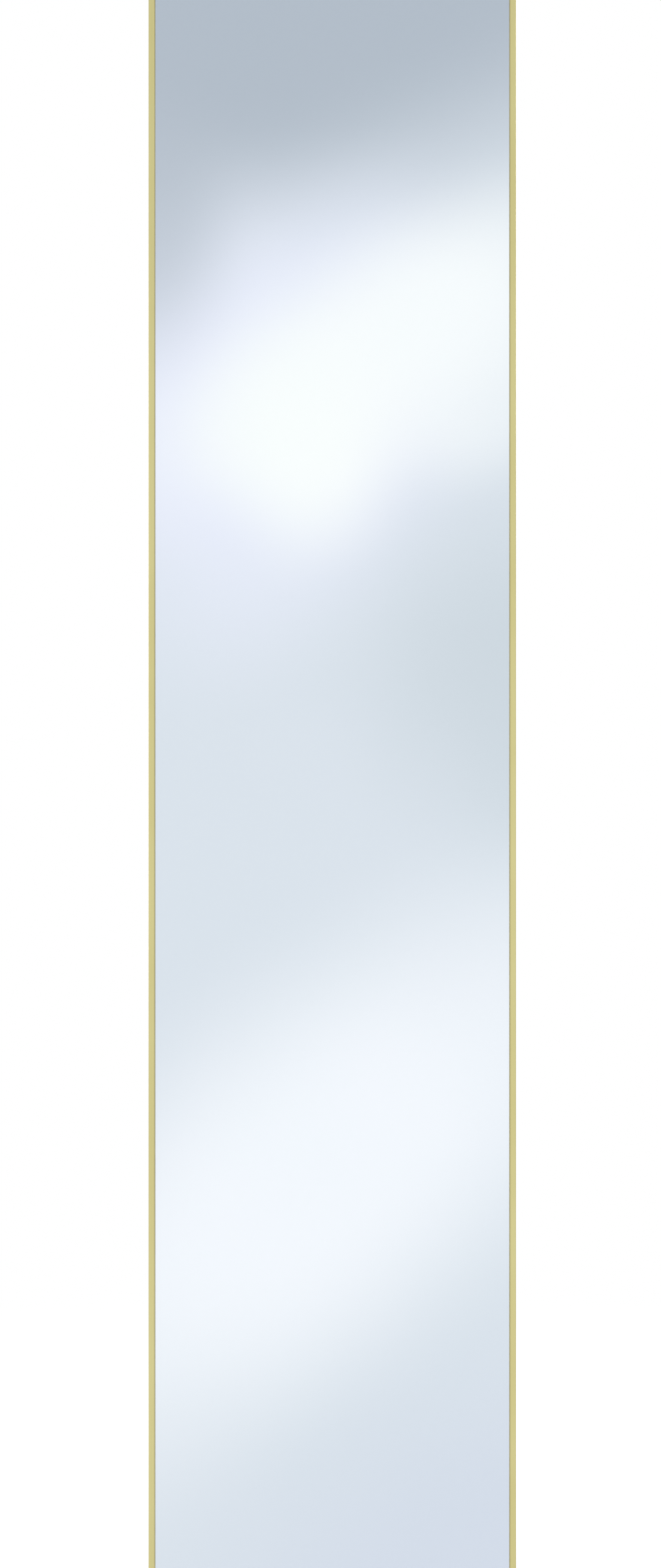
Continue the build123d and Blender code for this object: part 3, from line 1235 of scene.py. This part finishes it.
@dataclass
class Hangers:
    """The two hangers: strap with a rolled eye, clamp plate, two screws and a wire ring that swings."""

    layout: Layout
    finishes: Finishes
    pivot: Spot = tuple(frame["joints"][0]["pos_m"][1:])  # how deep and how high the rings' pivot is
    thickness: float = 1.2 * MM
    width: float = 12.0 * MM
    length: float = 41.0 * MM
    neck: float = 6.4 * MM
    neck_length: float = 6.0 * MM
    shoulder: float = 1.2 * MM
    corner: float = 3.5 * MM
    corner_steps: int = 6
    broken_edge: float = 0.14 * MM
    roll: float = 292.0  # degrees that the eye is rolled through
    roll_steps: int = 30
    screws_at: Spot = (22.0 * MM, 34.5 * MM)
    hole: float = 2.2 * MM
    head: Spot = (3.6 * MM, 2.2 * MM)  # radius and height
    head_sides: int = 40
    dome: float = 1.2 * MM
    recess: tuple[float, float, float] = (4.2 * MM, 1.0 * MM, 1.3 * MM)  # span, width and depth
    recess_taper: float = 0.72
    drive_turns: tuple[float, float, float] = (20.0, 35.0, 50.0)  # first, next and other side, in degrees
    wire: float = 2.2 * MM
    wire_sides: int = 20
    ring_half: float = 5.1 * MM
    ring_bend: float = 1.6 * MM
    ring_leg: float = 9.0 * MM
    bend_steps: int = 9
    bow_steps: int = 24

    def strap(self) -> Piece:
        """Cuts, rolls and pierces one strap on the middle line.

        Returns:
            The strap.
        """
        eye_y, eye_z = self.pivot
        low = self.layout.rear_of_frame
        high, sheet_y = low + self.thickness, low + self.thickness / 2
        shoulder_z, end_z = eye_z - self.neck_length, eye_z - self.length
        middle = (0, sheet_y, (shoulder_z + end_z) / 2)
        strap = sheet("strap_drawing", middle, self.width, shoulder_z - end_z, True)
        half = self.neck / 2
        with opened(strap, Pick.EDGES):
            for cut in (-half, half):
                score((cut, 0, 0), (1, 0, 0))
            choose(strap, Pick.EDGES, within((-half, -FAR, shoulder_z), (half, FAR, shoulder_z)))
            pull((0, 0, self.neck_length))
            turn = math.radians(self.roll)
            bpy.ops.mesh.spin(steps=self.roll_steps, angle=turn, center=(0, eye_y, eye_z), axis=(1, 0, 0))
        tidy(strap)
        with_modifier(strap, "SOLIDIFY", thickness=self.thickness, offset=0.0, use_even_offset=True)
        tidy(strap)
        with opened(strap, Pick.EDGES):
            melt()
            for across, up, radius in (
                (half, shoulder_z, self.shoulder), (self.width / 2, shoulder_z, self.shoulder),
                (self.width / 2, end_z, self.corner),
            ):
                choose(
                    strap, Pick.EDGES,
                    lambda edge: abs(edge.verts[0].co.x - edge.verts[1].co.x) < HAIR and all(
                        abs(abs(v.co.x) - across) < HAIR and abs(v.co.z - up) < HAIR
                        and low - HAIR < v.co.y < high + HAIR for v in edge.verts
                    ),
                )
                round_off(radius, self.corner_steps)
        for down in self.screws_at:
            with opened(strap):
                score((0, 0, eye_z - down), (0, 0, 1))
            punch = (0, sheet_y, eye_z - down)
            carve(strap, disc_bar("punch", punch, self.hole, 4 * self.thickness, HOLE_SIDES))
        tidy(strap)
        break_edges(strap, self.broken_edge, 1.0)
        smooth(strap, 40)
        return strap

    def screw(self) -> Piece:
        """Makes one pan head screw on the Y axis, its head against the strap.

        Returns:
            The screw.
        """
        seat = self.layout.rear_of_frame + self.thickness
        radius, height = self.head
        top = seat + height
        head = disc_bar("screw_drawing", (0, seat + height / 2, 0), radius, height, self.head_sides)
        with opened(head):
            choose(head, Pick.EDGES, at_level(1, top))
            round_off(self.dome, self.corner_steps)
        span, slot, deep = self.recess
        for length, breadth in ((span, slot), (slot, span)):
            low = (-length / 2, top - deep, -breadth / 2)
            cutter = block("driver", low, (length / 2, top + deep, breadth / 2))
            with opened(cutter):
                choose(cutter, Pick.FACES, lambda face: face.normal.y < -FACING)
                taper = (self.recess_taper, 1, self.recess_taper)
                bpy.ops.transform.resize(value=taper, center_override=(0, top - deep, 0))
            carve(head, cutter)
        shank = Thread().rod("shank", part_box("hanger_screws")[0].y, seat + 0.1 * MM)
        whole = joined([head, shank], "screw_drawing")
        smooth(whole)
        return whole

    def ring(self) -> Piece:
        """Bends one wire ring on the middle line, hanging from the eye.

        Returns:
            The ring.
        """
        eye_y, eye_z = self.pivot
        straight = self.ring_half - self.ring_bend
        bend_z = eye_z - self.ring_bend
        leg = self.ring_leg - self.ring_bend
        clear_bench()
        bpy.ops.mesh.primitive_circle_add(
            vertices=self.wire_sides, radius=self.wire / 2, location=(-straight, eye_y, eye_z),
            rotation=(0, math.pi / 2, 0),
        )
        ring = settle(bpy.context.object, "ring_drawing")
        bend = {"steps": self.bend_steps, "angle": math.pi / 2, "axis": (0, -1, 0)}
        bow = {"steps": self.bow_steps, "angle": math.pi, "axis": (0, -1, 0)}
        with opened(ring, Pick.EDGES):
            pick_all()
            pull((2 * straight, 0, 0))
            bpy.ops.mesh.spin(center=(straight, eye_y, bend_z), **bend)
            pull((0, 0, -leg))
            bpy.ops.mesh.spin(center=(0, eye_y, eye_z - self.ring_leg), **bow)
            pull((0, 0, leg))
            bpy.ops.mesh.spin(center=(-straight, eye_y, bend_z), **bend)
        tidy(ring)
        smooth(ring, 60)
        return ring

    def build(self) -> None:
        """Makes both hangers."""
        strap, screw, ring = self.strap(), self.screw(), self.ring()
        first, onward, other_side = self.drive_turns
        screws = []
        for side, sign in (("left", -1), ("right", 1)):
            at = Matrix.Translation((sign * self.layout.hanger_across, 0, 0))
            plate = twin(strap, f"rolled_strap_{side}", at)
            hand_over(plate, [self.finishes.nickel], f"hanger_strap_{side}")
            loop = twin(ring, f"wire_ring_{side}", at)
            hand_over(loop, [self.finishes.wire], f"hanger_ring_{side}", f"ring_{side}")
            dress(f"hanger_clamp_{side}", self.finishes.zinc)
            for number, down in enumerate(self.screws_at):
                turn = spun("Y", first + onward * number + other_side * (sign > 0))
                lift = Matrix.Translation((0, 0, self.pivot[1] - down))
                screws.append(twin(screw, f"pan_screw_{side}_{number}", at @ lift @ turn))
        fixings = joined(screws, "pan_head_screws")
        hand_over(fixings, [self.finishes.zinc_screw], "hanger_screws")
        scrap(strap, screw, ring)


@dataclass
class WallBumpers:
    """Four tapered rubber feet, each on a thin tacky pad."""

    layout: Layout
    finishes: Finishes
    radius: float = 6.0 * MM
    tip_radius: float = 5.4 * MM
    sides: int = 56
    edge: float = 0.9 * MM
    edge_steps: int = 6
    foot_edge: float = 0.25 * MM
    foot_steps: int = 3
    pad: float = 0.5 * MM
    pad_inset: float = 0.25 * MM
    from_end: float = 50.0 * MM

    def foot(self) -> Piece:
        """Moulds one foot on the Y axis, from the rail to the wall.

        Returns:
            The foot with its pad.
        """
        front, rear = self.layout.rear_of_frame, cad_high.y - HAIR
        start = front + self.pad
        foot = disc_bar("foot_drawing", (0, (start + rear) / 2, 0), self.radius, rear - start, self.sides)
        with opened(foot):
            choose(foot, Pick.FACES, lambda face: face.normal.y > FACING)
            share = self.tip_radius / self.radius
            bpy.ops.transform.resize(value=(share, 1, share), center_override=(0, rear, 0))
            for place, radius, steps in (
                (rear, self.edge, self.edge_steps), (start, self.foot_edge, self.foot_steps),
            ):
                choose(foot, Pick.EDGES, at_level(1, place))
                round_off(radius, steps)
        smooth(foot, 40)
        middle = (0, (front + start) / 2, 0)
        pad = disc_bar("pad_drawing", middle, self.radius - self.pad_inset, self.pad, self.sides)
        for face in pad.data.polygons:
            face.material_index = 1
        smooth(pad, 40)
        for piece in (foot, pad):
            piece.data.materials.append(self.finishes.rubber)
            piece.data.materials.append(self.finishes.pad)
        return joined([foot, pad], "foot_drawing")

    def build(self) -> None:
        """Puts a foot near the end of each upright rail."""
        drawn = self.foot()
        for corner in Corner:
            across, up = corner.signs
            height = self.layout.middle + up * (self.layout.height / 2 - self.from_end)
            place = Matrix.Translation((across * self.layout.hanger_across, 0, height))
            foot = twin(drawn, f"rubber_foot_{corner.label}", place)
            finishes = [self.finishes.rubber, self.finishes.pad]
            hand_over(foot, finishes, f"wall_bumper_{corner.label}")
        scrap(drawn)


# The studio


@dataclass(frozen=True)
class SoftCard:
    """One soft-edged card that the glass reflects, with its places in picture pixels from the top left."""

    name: str
    colour: Colour
    centre: Spot
    half: Spot
    tilt: float
    fade: Spot = (0.2, 1.5)
    strength: float = 1.0


@dataclass(frozen=True)
class SoftLamp:
    """One square, soft lamp, turned towards the mirror's middle."""

    name: str
    place: tuple[float, float, float]
    size: float
    watts: float
    in_gloss: bool  # whether metal and glass reflect it


@dataclass
class Studio:
    """The camera, the lamps, the pale floor and what the glass reflects."""

    layout: Layout
    distance: float = 3.5
    sensor: float = 36.0  # in millimetres, as Blender's cameras have it
    view_depth: Spot = (0.05, 60.0)
    frame_pixels: float = 489.3  # the frame's outer width in the picture
    frame_centre: float = 442.4
    top_rail_hidden: float = 4.0  # pixels of glass left between the picture's top and the top rail
    rail_face: float = 7.0 * MM
    plain_light: float = 0.62  # how strongly the world lights matt surfaces
    card_light: float = 1.03  # how bright it is where metal and glass reflect it
    waver: Spot = (11.0, 0.03)  # how fine and how strong the cards' edges waver
    least_ahead: float = 0.05  # keeps the slope of a ray that runs sideways within bounds
    mist: Colour = paint(221, 228, 237)
    side_shade: Colour = paint(172, 175, 183)
    side_light: Colour = paint(204, 207, 213)
    side_glow: Colour = paint(232, 235, 240)  # comes up from below
    side_scale: float = 2.2
    side_edges: Spot = (0.38, 0.62)
    glow_heights: Spot = (0.4, -0.5)  # where the glow starts and is full, by a ray's rise
    glow_share: float = 0.6
    sideways: Spot = (0.3, 0.8)  # where the sides take over from the cards, by a ray's sideways part
    floor_size: float = 14.0
    floor_gap: float = 0.2 * MM
    floor_colour: Colour = (0.78, 0.78, 0.775)
    floor_cloud: Colour = (0.8, 0.8, 0.8)
    floor_grain: float = 0.9
    cloud_share: float = 0.3
    floor_glow: float = 0.36  # what the camera sees on top of the floor's own light
    floor_fade: Spot = (0.9, 2.4)  # from the mirror's foot, where the floor goes over into white
    cards: tuple[SoftCard, ...] = (
        SoftCard("slate sky", paint(181, 190, 202), (400, -120), (900, 400), 17, (0.46, 1.43)),
        SoftCard("lilac haze", paint(236, 239, 253), (325, 562), (320, 255), 40, (0.3, 1.5)),
        SoftCard("long white", paint(250, 253, 255), (500, 470), (330, 130), 30, (0.1, 1.5)),
        SoftCard("white cloud", paint(252, 255, 255), (398, 590), (150, 140), 60, (0.1, 1.5)),
        SoftCard("white shoulder", paint(250, 253, 255), (650, 515), (150, 108), 30, strength=0.6),
        SoftCard("left shade", paint(186, 194, 206), (150, 300), (150, 190), 0, strength=0.66),
        SoftCard("grey side", paint(206, 215, 223), (720, 900), (260, 250), 70, (0.1, 1.4), 0.85),
        SoftCard("low white", paint(246, 249, 255), (412, 1568), (552, 236), 38, (0.15, 1.5)),
        SoftCard("lilac floor", paint(214, 221, 234), (700, 2170), (460, 320), 24, (0.25, 1.5)),
    )
    lamps: tuple[SoftLamp, ...] = (
        SoftLamp("front_key", (-1.9, -2.6, 0.6), 1.6, 34.0, False),
        SoftLamp("front_fill", (2.2, -2.2, -0.4), 1.6, 16.0, False),
        SoftLamp("back_key", (1.8, 2.4, 0.7), 1.4, 34.0, True),
        SoftLamp("back_fill", (-2.2, 2.0, -0.3), 1.4, 18.0, True),
    )

    @property
    def pixel(self) -> float:
        """The size of one picture pixel at the frame's front, in metres."""
        return self.layout.width / self.frame_pixels

    def set_camera(self) -> None:
        """Puts the camera square to the glass, where the picture was taken from."""
        tall = PICTURE[1] * self.pixel
        top = self.layout.middle + self.layout.height / 2 - self.rail_face - self.top_rail_hidden * self.pixel
        aside = (PICTURE[0] / 2 - self.frame_centre) * self.pixel
        place = (aside, self.layout.front - self.distance, top - tall / 2)
        clear_bench()
        bpy.ops.object.camera_add(location=place, rotation=(math.pi / 2, 0, 0))
        camera = bpy.context.object
        camera.name = "camera"
        camera.data.sensor_width = self.sensor
        camera.data.lens = self.sensor * self.distance / tall
        camera.data.clip_start, camera.data.clip_end = self.view_depth
        bpy.context.scene.camera = camera

    def card_share(self, recipe: Recipe, across: Socket, up: Socket, card: SoftCard) -> Socket:
        """Works out how much of one card a reflected ray sees.

        Args:
            recipe: The world's nodes.
            across: The ray's slope to the right.
            up: Its slope upwards.
            card: The card.

        Returns:
            A share from 0 to 1.
        """
        slope = self.pixel / self.distance
        tilt = math.radians(card.tilt)
        right = recipe.sum_up("SUBTRACT", across, (card.centre[0] - PICTURE[0] / 2) * slope)
        above = recipe.sum_up("SUBTRACT", up, (PICTURE[1] / 2 - card.centre[1]) * slope)
        parts = []
        for along, over, half in (
            (math.cos(tilt), math.sin(tilt), card.half[0]), (-math.sin(tilt), math.cos(tilt), card.half[1]),
        ):
            scale = 1 / (half * slope)
            scaled = recipe.sum_up("MULTIPLY", above, over * scale)
            turned = recipe.sum_up("MULTIPLY_ADD", right, along * scale, scaled)
            parts.append(recipe.sum_up("MULTIPLY", turned, turned))
        reach = recipe.sum_up("SQRT", recipe.sum_up("ADD", *parts))
        return recipe.span(reach, card.fade, (card.strength, 0.0), "SMOOTHERSTEP")

    def set_world(self) -> None:
        """Makes a white background, an even pale light, and soft cards for the glass to reflect."""
        world = bpy.data.worlds.new("studio")
        bpy.context.scene.world = world
        recipe = Recipe(world)
        heading = recipe.node("TexCoord").outputs["Generated"]
        right, forward, rise = recipe.node("SeparateXYZ", {0: heading}).outputs
        ahead = recipe.sum_up("MAXIMUM", recipe.sum_up("ABSOLUTE", forward), self.least_ahead)
        fineness, waver = self.waver
        sway = recipe.sum_up("MULTIPLY_ADD", recipe.noise(heading, fineness), waver, -waver / 2)
        across = recipe.sum_up("ADD", recipe.sum_up("DIVIDE", right, ahead), sway)
        up = recipe.sum_up("ADD", recipe.sum_up("DIVIDE", rise, ahead), sway)
        seen = self.mist
        for card in self.cards:
            seen = recipe.blend(self.card_share(recipe, across, up, card), seen, card.colour)
            log.info("card for the glass: %s", card.name)
        shade = recipe.span(recipe.noise(heading, self.side_scale), self.side_edges, (0, 1))
        sides = recipe.blend(shade, self.side_shade, self.side_light)
        glow = recipe.span(rise, self.glow_heights, (0, self.glow_share))
        sides = recipe.blend(glow, sides, self.side_glow)
        aside = recipe.span(recipe.sum_up("ABSOLUTE", right), self.sideways, (0, 1), "SMOOTHSTEP")
        seen = recipe.blend(aside, seen, sides)
        light = recipe.node("LightPath").outputs
        shiny = recipe.sum_up("MAXIMUM", light["Is Glossy Ray"], light["Is Transmission Ray"])
        plain = recipe.shaded("Background", Color=WHITE, Strength=self.plain_light)
        reflected = recipe.shaded("Background", Color=seen, Strength=self.card_light)
        white = recipe.shaded("Background", Color=WHITE, Strength=1.0)
        whole = recipe.layered(light["Is Camera Ray"], recipe.layered(shiny, plain, reflected), white)
        recipe.node("OutputWorld", {"Surface": whole})

    def set_floor(self) -> None:
        """Lays a plain pale floor under the mirror, which only the camera and plain light see."""
        size = self.floor_size
        floor = sheet("floor", (0, 0, cad_low.z - self.floor_gap), size, size, False)
        material, recipe = new_finish("pale_floor")
        share = recipe.span(recipe.grainy(self.floor_grain, detail=2.0), NOISE, (0, self.cloud_share))
        matt = recipe.shaded("BsdfDiffuse", Color=recipe.blend(share, self.floor_colour, self.floor_cloud))
        camera_ray = recipe.node("LightPath").outputs["Is Camera Ray"]
        strength = recipe.sum_up("MULTIPLY", camera_ray, self.floor_glow)
        glow = recipe.shaded("Emission", Color=WHITE, Strength=strength)
        lit = recipe.node("AddShader", {0: matt, 1: glow}).outputs[0]
        where = recipe.node("TexCoord").outputs["Object"]
        foot = (0.0, 0.0, cad_low.z)
        away = recipe.node("VectorMath", {0: where, 1: foot}, operation="DISTANCE").outputs["Value"]
        faded = recipe.span(away, self.floor_fade, (0, 1), "SMOOTHSTEP")
        far = recipe.sum_up("MULTIPLY", faded, camera_ray)
        white = recipe.shaded("Emission", Color=WHITE, Strength=1.0)
        recipe.node("OutputMaterial", {"Surface": recipe.layered(far, lit, white)})
        floor.data.materials.append(material)
        floor.visible_glossy = floor.visible_transmission = False

    def set_lamps(self) -> None:
        """Hangs soft lamps in front of the mirror and behind it."""
        middle = Vector((0, 0, self.layout.middle))
        for plan in self.lamps:
            clear_bench()
            at = Vector(plan.place)
            turn = (middle - at).to_track_quat("-Z", "Y").to_euler()
            bpy.ops.object.light_add(type="AREA", location=at, rotation=turn)
            lamp = bpy.context.object
            lamp.name = plan.name
            lamp.data.shape = "SQUARE"
            lamp.data.size = plan.size
            lamp.data.energy = plan.watts
            lamp.visible_glossy = lamp.visible_transmission = plan.in_gloss

    def build(self) -> None:
        """Sets up the whole studio."""
        bpy.context.scene.view_settings.view_transform = "Standard"
        self.set_camera()
        self.set_world()
        self.set_floor()
        self.set_lamps()
        log.info("studio: %.3f mm to a picture pixel", self.pixel / MM)


def main() -> None:
    """Builds and dresses the mirror and its studio, piece by piece."""
    logging.basicConfig(level=logging.INFO, format="%(name)s: %(message)s")
    finishes = Finishes()
    layout = Layout()
    Studio(layout).build()
    FrameRails(layout, finishes).build()
    MirrorPane(finishes).build()
    BackingPack(finishes).build()
    SpringClips(layout, finishes).build()
    CornerJoints(layout, finishes).build()
    Hangers(layout, finishes).build()
    WallBumpers(layout, finishes).build()
    clear_bench()


if __name__ == "__main__":
    main()
